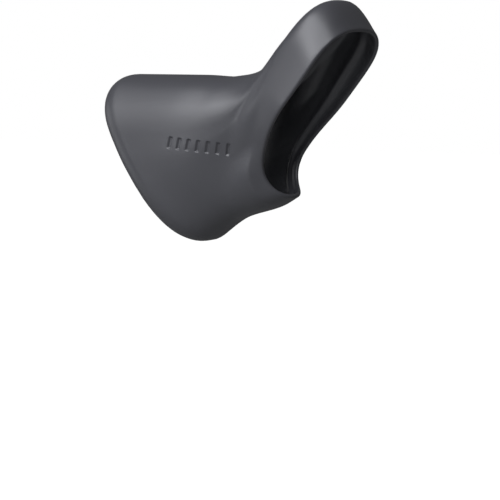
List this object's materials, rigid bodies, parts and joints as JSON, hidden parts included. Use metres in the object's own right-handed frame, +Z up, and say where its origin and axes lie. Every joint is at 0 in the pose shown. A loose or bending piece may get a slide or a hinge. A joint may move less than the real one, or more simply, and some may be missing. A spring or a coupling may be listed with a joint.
{
  "type": "brake lever hood",
  "caption": "Soft rubber hood for a drop-bar brake lever: flat palm rest, raised front horn, deep heel, rolled rear edge and a large opening for the lever blade.",
  "frame": {"origin": "centre of the rear mouth, where the lever body enters the hood", "axes": "+X forward, from the rear mouth to the front opening; +Y across the hood, to its left; +Z up, square to the palm rest"},
  "size_m": [0.0998, 0.0382, 0.0829],
  "materials": {
    "rubber": "satin moulded rubber, charcoal grey, very fine even grain"
  },
  "bodies": {
    "root": {"rubber_hood": "rubber"}
  },
  "joints": []
}
